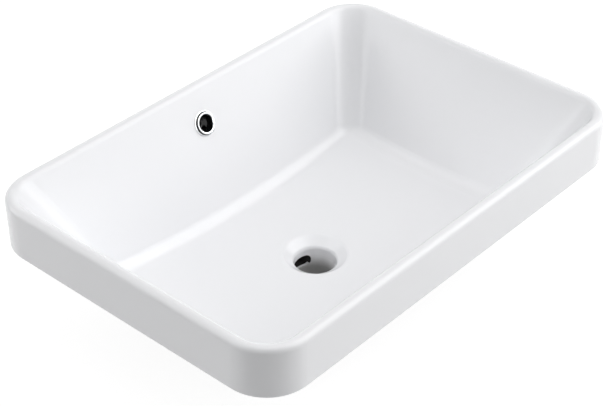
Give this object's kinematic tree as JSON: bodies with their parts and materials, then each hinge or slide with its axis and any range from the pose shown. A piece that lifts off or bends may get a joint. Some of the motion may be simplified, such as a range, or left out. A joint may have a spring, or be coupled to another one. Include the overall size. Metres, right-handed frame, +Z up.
{
  "type": "semi recessed basin",
  "caption": "Rectangular semi recessed ceramic basin with a raised rounded band, a dished bowl with waste bore, an overflow ring and clamps that hold it in a worktop.",
  "frame": {"origin": "centre of the waste outlet's foot, the lowest point", "axes": "+Z up, +X along the long side, +Y towards the side with the overflow"},
  "size_m": [0.55, 0.38, 0.18],
  "materials": {
    "glaze": "white gloss glaze",
    "chrome": "polished",
    "black_plastic": "moulded",
    "foam": "closed-cell foam",
    "nylon": "moulded nylon",
    "zinc": "zinc plated",
    "rubber": "matt"
  },
  "bodies": {
    "basin": {"ceramic_basin": "glaze", "overflow_sleeve": "black_plastic", "seat_seal": "foam", "fixing_plug_front_left": "nylon", "fixing_stud_front_left": "zinc", "fixing_plug_front_right": "nylon", "fixing_stud_front_right": "zinc", "fixing_plug_back_left": "nylon", "fixing_stud_back_left": "zinc", "fixing_plug_back_right": "nylon", "fixing_stud_back_right": "zinc"},
    "overflow_ring": {"overflow_ring": "chrome"},
    "washer_front_left": {"fixing_washer_front_left": "zinc"},
    "clamp_front_left": {"clamp_plate_front_left": "zinc", "clamp_pad_front_left": "rubber"},
    "nut_front_left": {"fixing_nut_front_left": "zinc"},
    "washer_front_right": {"fixing_washer_front_right": "zinc"},
    "clamp_front_right": {"clamp_plate_front_right": "zinc", "clamp_pad_front_right": "rubber"},
    "nut_front_right": {"fixing_nut_front_right": "zinc"},
    "washer_back_left": {"fixing_washer_back_left": "zinc"},
    "clamp_back_left": {"clamp_plate_back_left": "zinc", "clamp_pad_back_left": "rubber"},
    "nut_back_left": {"fixing_nut_back_left": "zinc"},
    "washer_back_right": {"fixing_washer_back_right": "zinc"},
    "clamp_back_right": {"clamp_plate_back_right": "zinc", "clamp_pad_back_right": "rubber"},
    "nut_back_right": {"fixing_nut_back_right": "zinc"}
  },
  "joints": [
    {"name": "overflow_ring_pull", "type": "slide", "parent": "basin", "child": "overflow_ring", "axis": [0, -0.8988, 0.4384], "range_m": [0, 0.012]},
    {"name": "lift_front_left", "type": "slide", "parent": "basin", "child": "washer_front_left", "axis": [0, 0, 1], "range_m": [-0.0135, 0]},
    {"name": "swing_front_left", "type": "hinge", "parent": "washer_front_left", "child": "clamp_front_left", "pos_m": [-0.245, -0.16, 0.1302], "axis": [0, 0, 1], "range_deg": [0, 120]},
    {"name": "nut_turn_front_left", "type": "hinge", "parent": "washer_front_left", "child": "nut_front_left", "pos_m": [-0.245, -0.16, 0.1259], "axis": [0, 0, 1], "range_deg": [-4861, 0]},
    {"name": "lift_front_right", "type": "slide", "parent": "basin", "child": "washer_front_right", "axis": [0, 0, 1], "range_m": [-0.0135, 0]},
    {"name": "swing_front_right", "type": "hinge", "parent": "washer_front_right", "child": "clamp_front_right", "pos_m": [0.245, -0.16, 0.1302], "axis": [0, 0, 1], "range_deg": [-120, 0]},
    {"name": "nut_turn_front_right", "type": "hinge", "parent": "washer_front_right", "child": "nut_front_right", "pos_m": [0.245, -0.16, 0.1259], "axis": [0, 0, 1], "range_deg": [-4861, 0]},
    {"name": "lift_back_left", "type": "slide", "parent": "basin", "child": "washer_back_left", "axis": [0, 0, 1], "range_m": [-0.0135, 0]},
    {"name": "swing_back_left", "type": "hinge", "parent": "washer_back_left", "child": "clamp_back_left", "pos_m": [-0.245, 0.16, 0.1302], "axis": [0, 0, 1], "range_deg": [-120, 0]},
    {"name": "nut_turn_back_left", "type": "hinge", "parent": "washer_back_left", "child": "nut_back_left", "pos_m": [-0.245, 0.16, 0.1259], "axis": [0, 0, 1], "range_deg": [-4861, 0]},
    {"name": "lift_back_right", "type": "slide", "parent": "basin", "child": "washer_back_right", "axis": [0, 0, 1], "range_m": [-0.0135, 0]},
    {"name": "swing_back_right", "type": "hinge", "parent": "washer_back_right", "child": "clamp_back_right", "pos_m": [0.245, 0.16, 0.1302], "axis": [0, 0, 1], "range_deg": [0, 120]},
    {"name": "nut_turn_back_right", "type": "hinge", "parent": "washer_back_right", "child": "nut_back_right", "pos_m": [0.245, 0.16, 0.1259], "axis": [0, 0, 1], "range_deg": [-4861, 0]}
  ],
  "couplings": [
    {"joint": "nut_turn_front_left", "follows": "lift_front_left", "rad_per_m": 6283.2},
    {"joint": "nut_turn_front_right", "follows": "lift_front_right", "rad_per_m": 6283.2},
    {"joint": "nut_turn_back_left", "follows": "lift_back_left", "rad_per_m": 6283.2},
    {"joint": "nut_turn_back_right", "follows": "lift_back_right", "rad_per_m": 6283.2}
  ]
}
